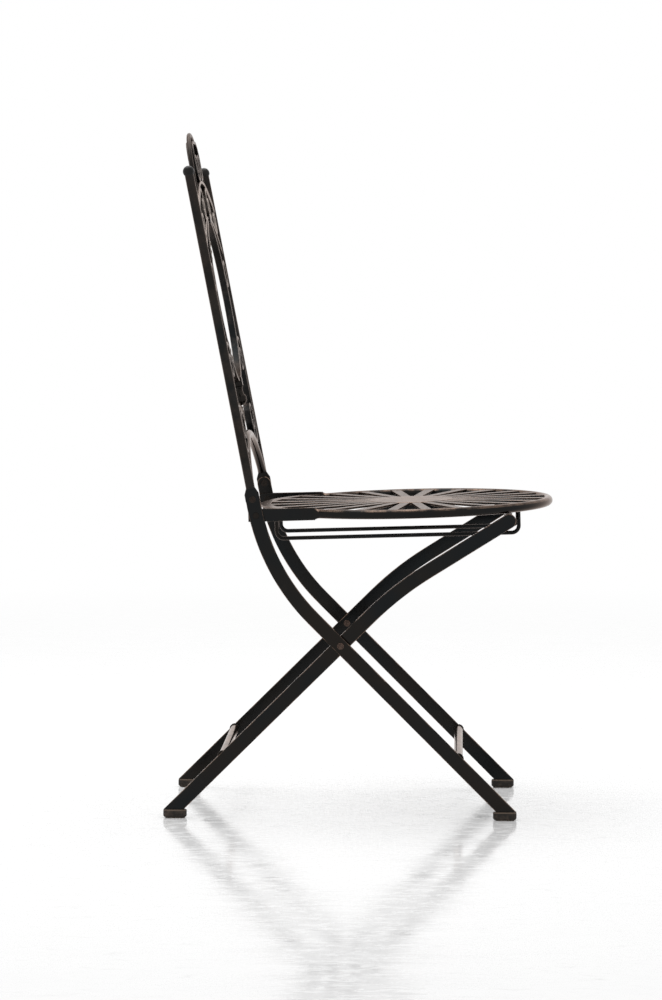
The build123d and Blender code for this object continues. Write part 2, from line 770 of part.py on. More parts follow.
# Guide rods: bent wire under the seat, with ends welded to a slat in front and to the rim's edge behind
with BuildPart() as guide_rod:
    rod_plane = Plane(
        origin=seat_pivot - Vector(0, guide_y, 0),
        x_dir=heading(seat_tilt),
        z_dir=(0, -1, 0),
    )
    with BuildLine(rod_plane) as rod_line:
        FilletPolyline(
            (guide_front, slat_level),
            (guide_front, -guide_drop),
            (guide_rear, -guide_drop),
            (guide_rear, slat_level),
            radius=guide_bend_radius,
        )
    with BuildSketch(Plane(origin=rod_line.wire() @ 0, z_dir=rod_line.wire() % 0)):
        Circle(guide_rod_diameter / 2)
    sweep(path=rod_line.wire())
save_pair(guide_rod, "guide_rod")

with BuildPart() as crossbar:
    with Locations(crosswise(leg_top, 0)):
        Cylinder(crossbar_diameter / 2, 2 * (rear_leg_inner - crossbar_end_gap))
save(crossbar, "crossbar")
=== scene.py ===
import json
from functools import partial
from math import atan2, cos, pi, radians, sin, sqrt

import bmesh
import bpy
from bpy.props import FloatProperty, FloatVectorProperty, IntProperty, PointerProperty
from bpy.types import Operator, Panel, PropertyGroup
from mathutils import Matrix, Vector


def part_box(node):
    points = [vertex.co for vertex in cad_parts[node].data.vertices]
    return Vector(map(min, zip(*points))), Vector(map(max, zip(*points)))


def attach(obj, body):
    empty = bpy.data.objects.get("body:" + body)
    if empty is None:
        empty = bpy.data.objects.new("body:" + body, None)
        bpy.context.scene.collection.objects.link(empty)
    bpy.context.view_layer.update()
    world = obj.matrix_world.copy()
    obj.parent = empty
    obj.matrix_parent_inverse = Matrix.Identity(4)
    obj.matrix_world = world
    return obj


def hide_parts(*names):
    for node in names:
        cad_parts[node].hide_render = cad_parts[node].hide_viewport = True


bl_info = {
    "name": "Folding Garden Chair",
    "version": (1, 0, 0),
    "blender": (4, 5, 0),
    "location": "3D View > Sidebar > Chair",
    "description": "Dresses the folding garden chair in rounded iron, worn lacquer, cast leaves and welds",
    "category": "Object",
}

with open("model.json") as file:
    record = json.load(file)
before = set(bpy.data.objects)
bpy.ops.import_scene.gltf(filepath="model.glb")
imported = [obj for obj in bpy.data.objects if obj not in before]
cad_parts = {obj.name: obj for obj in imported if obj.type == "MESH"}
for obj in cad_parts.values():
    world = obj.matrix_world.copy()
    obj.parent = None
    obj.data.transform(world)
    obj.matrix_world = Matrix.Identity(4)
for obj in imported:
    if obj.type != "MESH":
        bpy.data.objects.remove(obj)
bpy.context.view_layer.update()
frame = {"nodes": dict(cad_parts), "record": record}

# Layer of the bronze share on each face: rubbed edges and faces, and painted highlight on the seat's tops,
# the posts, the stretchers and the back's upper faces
WEAR_AND_HIGHLIGHT = "rub_and_highlight"

AHEAD = Vector((1, 0, 0))
LEFT = Vector((0, 1, 0))
UP = Vector((0, 0, 1))

# How the carried-over pieces are merged, cut and rounded
MERGE_DISTANCE = 1e-6
FLAT_ANGLE = radians(0.8)
SHARP_ANGLE = radians(34)
POST_SHORTEST = 0.0025
ARC_LENGTHS = 12
TREAD_LEVELS = 5

# Upright share of a normal that makes a face a top, whose bronze share paints a highlight, and reach of
# whole lacquer round a rivet
TOP_SLOPE = 0.5
HOLE_ZONE = 0.0075

# Cast leaves: steps of the mesh, shape of the outline and crown, slant of the veins, wear, and the
# length of the palmette's side petals as a share of its height
LEAF_STEPS = 36
LEAF_SIDES = 14
LEAF_MERGE = 1e-5
LEAF_BELLY = 0.85
LEAF_FULLNESS = 0.9
LEAF_CROWN = 0.7
VEIN_SLANT = 0.3
RELIEF_FADE = 3
LEAF_RIM = 0.15
LEAF_RUB = 0.35
PALMETTE_SIDE = 0.9

# Digits of a metre by which corners and faces are sorted
SORT_DIGITS = 7

# Turned stem of the fleur, in shares of the radius of its knot or of its stem
TURN_STEPS = 32
KNOT_GROOVE = 0.9
STEM_WAIST = 0.8
BEAD_SWELL = 0.45
BEAD_HEIGHT = 0.5

# Weld beads: facets, and the ripple and the sink into the leg in shares of the bead
WELD_SIDES = 10
WELD_STEPS = 96
WELD_RIPPLE = 0.16
WELD_SINK = 0.4

# Colour sockets of the mix node, which its other kinds of value share names with
MIX_FIRST = 6
MIX_SECOND = 7
MIX_RESULT = 2

# Shade of the floor's specks, and the width of the camera's film
SPECK_SHADE = 0.86
SENSOR_WIDTH = 36.0

LEG_NODES = ("front_leg_right", "front_leg_left", "rear_leg_right", "rear_leg_left")
FOOT_NODES = ("front_foot_right", "front_foot_left", "rear_foot_right", "rear_foot_left")
POST_NODES = ("back_post_right", "back_post_left")
STRETCHER_NODES = ("front_stretcher", "rear_stretcher")
SLAT_NODES = tuple(sorted(n for n in frame["nodes"] if n.startswith("seat_slats_")))
RAIL_NODES = ("mid_rail", "upper_rail")
HOLE_RIVETS = ("cross_pivot_rivets", "seat_pivot_rivets", "post_rivets")

# How far the edges and the faces of a piece are rubbed, from 0 to 1
RIVET_WEAR = {
    "cross_pivot_rivets": (1.0, 0.45),
    "seat_pivot_rivets": (0.0, 0.0),
    "post_rivets": (0.22, 0.05),
    "pivot_spacers": (0.5, 0.2),
}
# The faces of the upper scrolls and rails carry more bronze than the lower straps, partly brushed bronze
# and partly painted highlight, so the back is lighter at the top
STRAP_WEAR_AND_HIGHLIGHT = {
    "arch_scroll": (0.3, 0.0),
    "upper_scroll_right": (1.0, 0.5),
    "upper_scroll_left": (1.0, 0.5),
    "lower_scroll_right": (0.35, 0.0),
    "lower_scroll_left": (0.35, 0.0),
    "medallion_ring": (0.6, 0.0),
    "side_ring_right": (0.7, 0.0),
    "side_ring_left": (0.7, 0.0),
    "mid_rail": (1.0, 0.7),
    "upper_rail": (1.0, 0.9),
}


class ChairFinish(PropertyGroup):
    """Colours of the lacquer, of the bronze that shows where it is rubbed and that also paints highlight
    on some tops and faces, and of the moulded caps.
    """

    cool_black: FloatVectorProperty(
        name="Cool black", description="Lacquer where it looks bluish", subtype="COLOR",
        default=(0.0132, 0.0147, 0.0156), min=0, max=1)
    warm_black: FloatVectorProperty(
        name="Warm black", description="Lacquer where it looks brownish", subtype="COLOR",
        default=(0.0185, 0.0162, 0.0145), min=0, max=1)
    # Bronze also paints the highlights on the seat's tops, the posts and the stretchers
    bronze: FloatVectorProperty(
        name="Bronze", description="Metal that shows along rubbed edges", subtype="COLOR",
        default=(0.19, 0.132, 0.1), min=0, max=1)
    brushed: FloatVectorProperty(
        name="Brushed bronze", description="Thin bronze brushed over the ornament", subtype="COLOR",
        default=(0.21, 0.168, 0.146), min=0, max=1)
    # Bare edge also paints highlight on the faces of the upper scrolls and rails
    bare_edge_and_highlight: FloatVectorProperty(
        name="Bare edge", description="Pale metal along the edges of the ornament", subtype="COLOR",
        default=(0.27, 0.235, 0.21), min=0, max=1)
    sheen: FloatVectorProperty(
        name="Sheen", description="Tint of the lacquer seen at a flat angle", subtype="COLOR",
        default=(0.96, 0.86, 0.81), min=0, max=1)
    copper: FloatVectorProperty(
        name="Worn copper", description="Rivet heads, worn to copper brown", subtype="COLOR",
        default=(0.16, 0.106, 0.084), min=0, max=1)
    cap_black: FloatVectorProperty(
        name="Cap black", description="Moulded caps of the posts", subtype="COLOR",
        default=(0.0075, 0.0072, 0.007), min=0, max=1)
    cap_dust: FloatVectorProperty(
        name="Cap dust", description="Scuffed places of the caps", subtype="COLOR",
        default=(0.021, 0.017, 0.014), min=0, max=1)
    foot_brown: FloatVectorProperty(
        name="Foot brown", description="Moulded caps of the feet", subtype="COLOR",
        default=(0.019, 0.0165, 0.0142), min=0, max=1)
    foot_scuff: FloatVectorProperty(
        name="Foot scuff", description="Rubbed edges of the foot caps", subtype="COLOR",
        default=(0.105, 0.078, 0.06), min=0, max=1)
    gloss: FloatProperty(
        name="Gloss", description="Specular level of the moulded caps", subtype="FACTOR",
        default=0.15, min=0, max=1)


class ChairEdges(PropertyGroup):
    """Radii of the rounded edges, and the foot caps' tread."""

    bar: FloatProperty(
        name="Flat bar", description="Edge radius of the legs and stretchers", unit="LENGTH",
        default=0.0009, min=0.0001)
    strap: FloatProperty(
        name="Strap", description="Edge radius of the back's straps and posts", unit="LENGTH",
        default=0.0008, min=0.0001)
    slat: FloatProperty(
        name="Slat", description="Edge radius of the seat's slats and plates", unit="LENGTH",
        default=0.0005, min=0.0001)
    tab: FloatProperty(
        name="Hinge tab", description="Edge radius of the seat ring's hammered tabs", unit="LENGTH",
        default=0.0008, min=0.0001)
    cap: FloatProperty(
        name="Foot cap", description="Edge radius of the foot caps", unit="LENGTH",
        default=0.0007, min=0.0001)
    tread: FloatProperty(
        name="Tread", description="Height of the rounded tread under the foot caps", unit="LENGTH",
        default=0.0038, min=0.0005)
    tread_draw: FloatProperty(
        name="Tread draw", description="Share by which the tread narrows at the floor", subtype="FACTOR",
        default=0.4, min=0, max=0.9)
    rivet: FloatProperty(
        name="Rivet", description="Edge radius of the rivet heads", unit="LENGTH",
        default=0.0005, min=0.0001)
    segments: IntProperty(
        name="Segments", description="Facets across a rounded edge", default=3, min=1, max=6)


class ChairLeaves(PropertyGroup):
    """Shape of the cast leaves."""

    veins: IntProperty(
        name="Veins", description="Side veins on each half of a leaf", default=6, min=1, max=12)
    vein_height: FloatProperty(
        name="Vein height", description="Height of the side veins", unit="LENGTH", default=0.0005, min=0)
    rib_width: FloatProperty(
        name="Rib width", description="Half width of the middle rib", unit="LENGTH",
        default=0.0016, min=0.0001)
    rib_height: FloatProperty(
        name="Rib height", description="Height of the middle rib", unit="LENGTH", default=0.0009, min=0)
    palmette_width: FloatProperty(
        name="Palmette width", description="Half width of the palmette's petals", unit="LENGTH",
        default=0.009, min=0.001)
    palmette_spread: FloatProperty(
        name="Palmette spread", description="Lean of the palmette's side petals", subtype="ANGLE",
        default=radians(27))
    fleur_width: FloatProperty(
        name="Fleur width", description="Half width of the fleur's petals", unit="LENGTH",
        default=0.01, min=0.001)
    fleur_spread: FloatProperty(
        name="Fleur spread", description="Lean of the fleur's side petals", subtype="ANGLE",
        default=radians(34))
    stem_radius: FloatProperty(
        name="Stem", description="Radius of the fleur's stem", unit="LENGTH", default=0.005, min=0.001)
    stem_length: FloatProperty(
        name="Stem length", description="Stem from the medallion to the middle of the knot", unit="LENGTH",
        default=0.025, min=0.002)
    knot_radius: FloatProperty(
        name="Knot", description="Radius of the fleur's knot", unit="LENGTH", default=0.009, min=0.001)


class ChairWelds(PropertyGroup):
    """Size of the weld beads."""

    bead: FloatProperty(
        name="Bead", description="Radius of a weld bead", unit="LENGTH", default=0.0016, min=0.0002)
    pitch: FloatProperty(
        name="Ripple pitch", description="Distance between the ripples of a bead", unit="LENGTH",
        default=0.0022, min=0.0005)


class ChairStudio(PropertyGroup):
    """Camera, light and floor."""

    eye: FloatVectorProperty(
        name="Camera", description="Place of the camera", subtype="TRANSLATION", unit="LENGTH",
        default=(0.1469, -5.5126, 0.8562))
    yaw: FloatProperty(
        name="Yaw", description="Turn of the camera to the chair's rear", subtype="ANGLE",
        default=radians(1.9735))
    pitch: FloatProperty(
        name="Pitch", description="Tilt of the camera below the horizon", subtype="ANGLE",
        default=radians(4.3479))
    lens: FloatProperty(name="Lens", description="Focal length in millimetres", default=139.097, min=1)
    daylight: FloatProperty(
        name="Soft light", description="Strength of the light from all round", default=0.86, min=0)
    softbox: FloatProperty(
        name="Softbox", description="Power of the overhead softbox", unit="POWER", default=34.0, min=0)
    softbox_size: FloatVectorProperty(
        name="Softbox size", description="Width and depth of the softbox", size=2, unit="LENGTH",
        default=(2.4, 1.6), min=0.1)
    softbox_place: FloatVectorProperty(
        name="Softbox place", description="Place of the softbox, which faces the origin",
        subtype="TRANSLATION", unit="LENGTH", default=(-0.4, 0.5, 2.6))
    floor: FloatVectorProperty(
        name="Floor", description="Colour of the floor", subtype="COLOR",
        default=(0.88, 0.88, 0.88), min=0, max=1)
    floor_size: FloatProperty(
        name="Floor size", description="Side of the floor", unit="LENGTH", default=24.0, min=1)
    fade_start: FloatProperty(
        name="Fade start", description="Distance at which the floor starts to turn white", unit="LENGTH",
        default=1.2, min=0)
    fade_end: FloatProperty(
        name="Fade end", description="Distance at which the floor is white", unit="LENGTH",
        default=3.2, min=0.1)


# Places


def middle_of(node):
    """Middle of a node's box."""
    return sum(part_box(node), Vector()) / 2


def back_frame_axes():
    """Matrix of the back: x to the chair's left, y up the posts, z forward, from the post rivets."""
    rivet = middle_of("post_rivets")
    ball = middle_of("post_finial_right")
    up = Vector((ball.x - rivet.x, 0, ball.z - rivet.z)).normalized()
    turn = Matrix((LEFT, up, LEFT.cross(up))).transposed().to_4x4()
    return Matrix.Translation((rivet.x, 0, rivet.z)) @ turn


def span_in(node, axes):
    """Lowest and highest corner of a node, measured along other axes."""
    inverse = axes.inverted()
    points = [inverse @ v.co for v in frame["nodes"][node].data.vertices]
    low = Vector([min(p[k] for p in points) for k in range(3)])
    high = Vector([max(p[k] for p in points) for k in range(3)])
    return low, high


# Finishes


def add_node(tree, kind, **values):
    """Add a shader node and set its properties."""
    node = tree.nodes.new(kind)
    for key, value in values.items():
        setattr(node, key, value)
    return node


def noise(tree, scale, detail=3.0, roughness=0.55, distortion=0.0, stretch=(1, 1, 1)):
    """Noise on the piece's own coordinates, whose features are about one over the scale in metres."""
    place = add_node(tree, "ShaderNodeTexCoord")
    drawn = add_node(tree, "ShaderNodeVectorMath", operation="DIVIDE")
    drawn.inputs[1].default_value = stretch
    node = add_node(tree, "ShaderNodeTexNoise")
    node.inputs["Scale"].default_value = scale
    node.inputs["Detail"].default_value = detail
    node.inputs["Roughness"].default_value = roughness
    node.inputs["Distortion"].default_value = distortion
    tree.links.new(place.outputs["Object"], drawn.inputs[0])
    tree.links.new(drawn.outputs["Vector"], node.inputs["Vector"])
    return node.outputs["Fac"]


def ramp(tree, source, low, high, start=0.0, end=1.0):
    """Map a value from one range to another, held at the ends."""
    node = add_node(tree, "ShaderNodeMapRange", clamp=True)
    node.inputs["From Min"].default_value = low
    node.inputs["From Max"].default_value = high
    node.inputs["To Min"].default_value = start
    node.inputs["To Max"].default_value = end
    tree.links.new(source, node.inputs["Value"])
    return node.outputs["Result"]


def combine(tree, operation, first, second):
    """Join two values, or a value and a number, by arithmetic."""
    node = add_node(tree, "ShaderNodeMath", operation=operation, use_clamp=True)
    for socket, value in zip(node.inputs, (first, second)):
        if isinstance(value, (int, float)):
            socket.default_value = value
        else:
            tree.links.new(value, socket)
    return node.outputs["Value"]


def blend_colours(tree, share, first, second):
    """Mix two colours, each a socket or a plain colour."""
    node = add_node(tree, "ShaderNodeMix", data_type="RGBA")
    tree.links.new(share, node.inputs["Factor"])
    for socket, value in zip((node.inputs[MIX_FIRST], node.inputs[MIX_SECOND]), (first, second)):
        if isinstance(value, bpy.types.NodeSocket):
            tree.links.new(value, socket)
        else:
            socket.default_value = (*value, 1.0)
    return node.outputs[MIX_RESULT]


def bump(tree, shader, height, distance, strength):
    """Fine relief on the shader's normal."""
    node = add_node(tree, "ShaderNodeBump")
    node.inputs["Strength"].default_value = strength
    node.inputs["Distance"].default_value = distance
    tree.links.new(height, node.inputs["Height"])
    tree.links.new(node.outputs["Normal"], shader.inputs["Normal"])


def new_material(name):
    """Empty material with its shader ready."""
    material = bpy.data.materials.new(name)
    material.use_nodes = True
    return material, material.node_tree, material.node_tree.nodes["Principled BSDF"]


def worn_edges_and_highlights(tree, reach):
    """Share of bronze along the rounded edges, and on the faces and tops whose share paints a highlight,
    broken up so that it comes and goes.
    """
    edge = add_node(tree, "ShaderNodeAttribute", attribute_name=WEAR_AND_HIGHLIGHT)
    patches = noise(tree, scale=34.0, detail=4.0, roughness=0.6)
    broken = ramp(tree, patches, low=0.62 - reach, high=0.7 - reach * 0.6)
    flecks = ramp(tree, noise(tree, scale=420.0, detail=2.0), low=0.36, high=0.6, start=0.45)
    return combine(tree, "MULTIPLY", combine(tree, "MULTIPLY", edge.outputs["Fac"], broken), flecks)


def lacquered_iron(name, finish, edge, edge_reach, patch_low, patch_share, polish):
    """Black lacquer in cool and warm patches, rubbed to bare metal along edges and in faint clouds, with
    the same metal colour painted as highlight on some tops and faces.
    """
    material, tree, shader = new_material(name)
    clouds = noise(tree, scale=7.5, detail=3.0, roughness=0.6, distortion=0.4)
    warmth = ramp(tree, clouds, low=0.38, high=0.66)
    lacquer = blend_colours(tree, warmth, finish.cool_black, finish.warm_black)
    scuffs = noise(tree, scale=52.0, detail=5.0, roughness=0.66, distortion=0.8)
    bare = ramp(tree, scuffs, low=patch_low, high=patch_low + 0.2, end=patch_share)
    brushed = blend_colours(tree, bare, lacquer, finish.brushed)
    # Bronze share from the layer: rubbed edges, and painted highlight on tops and some faces
    rubbed = worn_edges_and_highlights(tree, edge_reach)
    tree.links.new(blend_colours(tree, rubbed, brushed, edge), shader.inputs["Base Color"])
    shader.inputs["Metallic"].default_value = 1.0
    shader.inputs["Specular Tint"].default_value = (*finish.sheen, 1.0)
    grain = noise(tree, scale=190.0, detail=4.0, roughness=0.6)
    dulled = ramp(tree, grain, low=0.3, high=0.72, start=polish, end=polish + 0.12)
    tree.links.new(dulled, shader.inputs["Roughness"])
    bump(tree, shader, noise(tree, scale=640.0, detail=2.0), distance=0.0002, strength=0.12)
    return material


def worn_copper(name, finish):
    """Rivet heads: dark lacquer worn through to copper brown on the raised ring."""
    material, tree, shader = new_material(name)
    edge = add_node(tree, "ShaderNodeAttribute", attribute_name=WEAR_AND_HIGHLIGHT)
    flecks = noise(tree, scale=420.0, detail=4.0, roughness=0.6)
    mottle = ramp(tree, flecks, low=0.36, high=0.6, start=0.25)
    rubbed = combine(tree, "MULTIPLY", edge.outputs["Fac"], mottle)
    colour = blend_colours(tree, rubbed, finish.warm_black, finish.copper)
    tree.links.new(colour, shader.inputs["Base Color"])
    shader.inputs["Metallic"].default_value = 1.0
    dulled = ramp(tree, mottle, low=0.25, high=1.0, start=0.46, end=0.32)
    tree.links.new(dulled, shader.inputs["Roughness"])
    bump(tree, shader, noise(tree, scale=900.0, detail=3.0), distance=0.0003, strength=0.3)
    return material


def moulded_cap(name, body, scuff, gloss, smooth, rough):
    """Moulded dark caps with a fine grain, dusty where they are scuffed."""
    material, tree, shader = new_material(name)
    edge = add_node(tree, "ShaderNodeAttribute", attribute_name=WEAR_AND_HIGHLIGHT)
    dust = ramp(tree, noise(tree, scale=130.0, detail=4.0, roughness=0.65), low=0.46, high=0.72)
    scuffed = combine(tree, "MAXIMUM", edge.outputs["Fac"], combine(tree, "MULTIPLY", dust, 0.5))
    tree.links.new(blend_colours(tree, scuffed, body, scuff), shader.inputs["Base Color"])
    dulled = ramp(tree, dust, low=0.0, high=1.0, start=smooth, end=rough)
    tree.links.new(dulled, shader.inputs["Roughness"])
    shader.inputs["Specular IOR Level"].default_value = gloss
    bump(tree, shader, noise(tree, scale=1400.0, detail=2.0), distance=0.0002, strength=0.22)
    return material


def material_of(slot):
    """Finish of a slot of the record."""
    return bpy.data.materials[f"chair_{slot}"]


def slot_of(node):
    """Slot that the record gives a node."""
    return next(s["material_slot"] for s in frame["record"]["subparts"] if s["node"] == node)


class CHAIR_OT_finishes(Operator):
    """Make the finishes and put them on every carried-over piece"""

    bl_idname = "chair.finishes"
    bl_label = "Finishes"

    def execute(self, context):
        finish = context.scene.chair_finish
        lacquered_iron(
            "chair_frame_iron", finish, finish.bronze,
            edge_reach=0.22, patch_low=0.62, patch_share=0.02, polish=0.13)
        lacquered_iron(
            "chair_seat_iron", finish, finish.bronze,
            edge_reach=0.3, patch_low=0.5, patch_share=0.14, polish=0.23)
        lacquered_iron(
            "chair_scroll_iron", finish, finish.bare_edge_and_highlight,
            edge_reach=0.4, patch_low=0.52, patch_share=0.1, polish=0.24)
        worn_copper("chair_rivet", finish)
        moulded_cap(
            "chair_ball_cap", finish.cap_black, finish.cap_dust, finish.gloss, smooth=0.3, rough=0.48)
        moulded_cap(
            "chair_foot_cap", finish.foot_brown, finish.foot_scuff, finish.gloss, smooth=0.42, rough=0.62)
        for node, piece in frame["nodes"].items():
            piece.data.materials.clear()
            piece.data.materials.append(material_of(slot_of(node)))
        return {"FINISHED"}


# Pieces


def body_of(node):
    """Body that a node moves with."""
    return next(b for b, nodes in frame["record"]["behaviour"]["bodies"].items() if node in nodes)


def add_piece(name, shape, body, slot, replaced=()):
    """Turn a finished bmesh into a piece that rides on a body."""
    mesh = bpy.data.meshes.new(name)
    shape.to_mesh(mesh)
    shape.free()
    mesh.shade_smooth()
    mesh.materials.append(material_of(slot))
    piece = bpy.data.objects.new(name, mesh)
    bpy.context.scene.collection.objects.link(piece)
    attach(piece, body)
    if replaced:
        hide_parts(*replaced)
    return piece


def even_shading(piece):
    """Keep flat faces flat beside rounded edges."""
    normals = piece.modifiers.new("even_shading", "WEIGHTED_NORMAL")
    normals.keep_sharp = True


def merged_copy(node, cuts):
    """Copy of a node with its triangles joined into whole faces, cut so that no face has a hole in it."""
    shape = bmesh.new()
    shape.from_mesh(frame["nodes"][node].data)
    bmesh.ops.remove_doubles(shape, verts=shape.verts, dist=MERGE_DISTANCE)
    for point, normal in cuts:
        everything = shape.verts[:] + shape.edges[:] + shape.faces[:]
        made = bmesh.ops.bisect_plane(
            shape, geom=everything, dist=MERGE_DISTANCE, plane_co=point, plane_no=normal)
        for edge in made["geom_cut"]:
            if isinstance(edge, bmesh.types.BMEdge):
                edge.seam = True
    bmesh.ops.dissolve_limit(
        shape, angle_limit=FLAT_ANGLE, use_dissolve_boundaries=False, verts=shape.verts, edges=shape.edges,
        delimit={"SEAM"})
    return shape


def round_edges(shape, radius, segments, edge_rub, face_rub_and_sheen, top_rub_and_highlight, shortest):
    """Round the sharp edges and mark how far the rounded strips and the faces between are rubbed; faces
    that look up get their own share, which paints a highlight on them.
    """
    wear = shape.faces.layers.float.new(WEAR_AND_HIGHLIGHT)
    for face in shape.faces:
        # Faces that look up take the top share, which is a painted highlight
        face[wear] = top_rub_and_highlight if face.normal.z > TOP_SLOPE else face_rub_and_sheen
    sharp = [e for e in shape.edges
             if e.is_manifold and e.calc_face_angle() > SHARP_ANGLE and e.calc_length() > shortest]
    made = bmesh.ops.bevel(
        shape, geom=sharp, offset=radius, offset_type="OFFSET", segments=segments, profile=0.5,
        affect="EDGES", clamp_overlap=False, loop_slide=True, material=-1)
    for face in made["faces"]:
        face[wear] = edge_rub


def spare_holes(shape):
    """Keep the lacquer whole round the rivet holes."""
    wear = shape.faces.layers.float[WEAR_AND_HIGHLIGHT]
    holes = [middle_of(rivets) for rivets in HOLE_RIVETS]
    for face in shape.faces:
        middle = face.calc_center_median()
        if any(Vector((middle.x - h.x, middle.z - h.z)).length < HOLE_ZONE for h in holes):
            face[wear] = 0.0


def tread_cuts(height):
    """Level cuts through the tread of a foot cap."""
    return [(UP * height * (k + 1) / TREAD_LEVELS, UP) for k in range(TREAD_LEVELS)]


def round_tread(shape, middle, height, draw):
    """Draw the tread of a foot cap in towards the floor, along a quarter of an ellipse."""
    for vert in shape.verts:
        drop = min(1.0, 1 - vert.co.z / height)
        if drop > 0:
            share = 1 - draw * (1 - sqrt(1 - drop * drop))
            vert.co.x = middle.x + share * (vert.co.x - middle.x)
            vert.co.y = middle.y + share * (vert.co.y - middle.y)


def rounded_piece(node, radius, segments, cuts=(), edge_rub=1.0, face_rub_and_sheen=0.0, top_rub_and_highlight=None, shortest=0.0,
                  form=None):
    """Rounded copy of a node that stands for it; edges no longer than the shortest stay sharp."""
    shape = merged_copy(node, cuts)
    if form:
        form(shape)
    round_edges(
        shape, radius, segments, edge_rub, face_rub_and_sheen, face_rub_and_sheen if top_rub_and_highlight is None else top_rub_and_highlight, shortest)
    if slot_of(node) == "frame_iron":
        spare_holes(shape)
    piece = add_piece(f"rounded_{node}", shape, body_of(node), slot_of(node), (node,))
    even_shading(piece)


def arc_cuts(node):
    """Upright cuts along an arc that spans the chair, so that no face of it bends back on itself."""
    low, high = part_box(node)
    return [(low.lerp(high, (k + 1) / ARC_LENGTHS), LEFT) for k in range(ARC_LENGTHS - 1)]


class CHAIR_OT_legs(Operator):
    """Round the edges of the flat-bar legs and of the stretchers between them, whose faces get bronze as
    painted sheen
    """

    bl_idname = "chair.legs"
    bl_label = "Legs"

    def execute(self, context):
        edges = context.scene.chair_edges
        cuts = [(middle_of(rivets), UP) for rivets in HOLE_RIVETS]
        for node in LEG_NODES:
            rounded_piece(node, edges.bar, edges.segments, cuts)
        for node in STRETCHER_NODES:
            # Bronze over most of the stretchers' faces is painted sheen
            rounded_piece(node, edges.bar, edges.segments, face_rub_and_sheen=0.75)
        return {"FINISHED"}


class CHAIR_OT_feet(Operator):
    """Round the foot caps and their treads"""

    bl_idname = "chair.feet"
    bl_label = "Feet"

    def execute(self, context):
        edges = context.scene.chair_edges
        for node in FOOT_NODES:
            middle = middle_of(node)
            cuts = [(middle, AHEAD), (middle, LEFT), *tread_cuts(edges.tread)]
            form = partial(round_tread, middle=middle, height=edges.tread, draw=edges.tread_draw)
            rounded_piece(node, edges.cap, edges.segments, cuts, form=form)
        return {"FINISHED"}


class CHAIR_OT_rivets(Operator):
    """Round the rivets and their spacers"""

    bl_idname = "chair.rivets"
    bl_label = "Rivets"

    def execute(self, context):
        edges = context.scene.chair_edges
        for node, (edge_rub, face_rub_and_sheen) in RIVET_WEAR.items():
            rounded_piece(node, edges.rivet, edges.segments, [(middle_of(node), UP)], edge_rub, face_rub_and_sheen)
        return {"FINISHED"}


class CHAIR_OT_seat(Operator):
    """Round the slats, the hub, the rim and the seat ring's tabs"""

    bl_idname = "chair.seat"
    bl_label = "Seat"

    def execute(self, context):
        edges = context.scene.chair_edges
        for node in SLAT_NODES:
            rounded_piece(node, edges.slat, edges.segments)
        # Bronze on the tops of the hub, the rim and the seat ring is painted highlight
        rounded_piece("hub_disc", edges.slat, edges.segments, top_rub_and_highlight=0.88)
        rounded_piece("rear_rim", edges.slat, edges.segments, arc_cuts("rear_rim"), top_rub_and_highlight=0.25)
        rounded_piece("hub_ring", edges.slat, edges.segments, [(middle_of("hub_ring"), AHEAD)])
        pivot = middle_of("seat_pivot_rivets")
        rounded_piece("seat_ring", edges.tab, edges.segments, [(pivot, AHEAD)], edge_rub=0.3, top_rub_and_highlight=0.6)
        return {"FINISHED"}


class CHAIR_OT_scrollwork(Operator):
    """Round the straps and posts of the back"""

    bl_idname = "chair.scrollwork"
    bl_label = "Scrollwork"

    def execute(self, context):
        edges = context.scene.chair_edges
        for node, (edge_rub, face_rub_and_sheen) in STRAP_WEAR_AND_HIGHLIGHT.items():
            cuts = arc_cuts(node) if node in RAIL_NODES else [(middle_of(node), UP)]
            rounded_piece(node, edges.strap, edges.segments, cuts, edge_rub, face_rub_and_sheen)
        rivet = middle_of("post_rivets")
        for node in POST_NODES:
            cuts = [(middle_of(node), LEFT), (rivet, UP)]
            # The small bronze share on the posts' faces paints a soft highlight on the tubes
            rounded_piece(
                node, edges.strap, edges.segments, cuts, edge_rub=0.15, face_rub_and_sheen=0.07,
                shortest=POST_SHORTEST)
        return {"FINISHED"}


def leaf_half(shape, length, half_width, half_depth, leaves):
    """Front half of a cast leaf along +Y from the origin: its middle rib, slanting veins and wear."""
    wear = shape.verts.layers.float.new(WEAR_AND_HIGHLIGHT)
    made = bmesh.ops.create_grid(shape, x_segments=LEAF_SIDES, y_segments=LEAF_STEPS, size=1.0)
    for vert in made["verts"]:
        across = vert.co.x
        along = (vert.co.y + 1) / 2
        swell = sin(pi * along ** LEAF_BELLY) ** LEAF_FULLNESS
        edge = 1 - abs(across)
        rib = max(0.0, 1 - abs(across) * half_width * swell / leaves.rib_width)
        vein = cos(2 * pi * leaves.veins * (along - VEIN_SLANT * abs(across)))
        crown = half_depth * swell * edge ** LEAF_CROWN
        fade = min(1.0, RELIEF_FADE * edge)
        relief = (leaves.rib_height * rib + leaves.vein_height * vein * edge) * fade * swell
        vert.co = (across * half_width * swell, along * length, max(0.0, crown + relief))
        rim = max(0.0, 1 - edge / LEAF_RIM)
        vert[wear] = max(rim, rib, LEAF_RUB + (1 - LEAF_RUB) * max(0.0, vein) * fade)


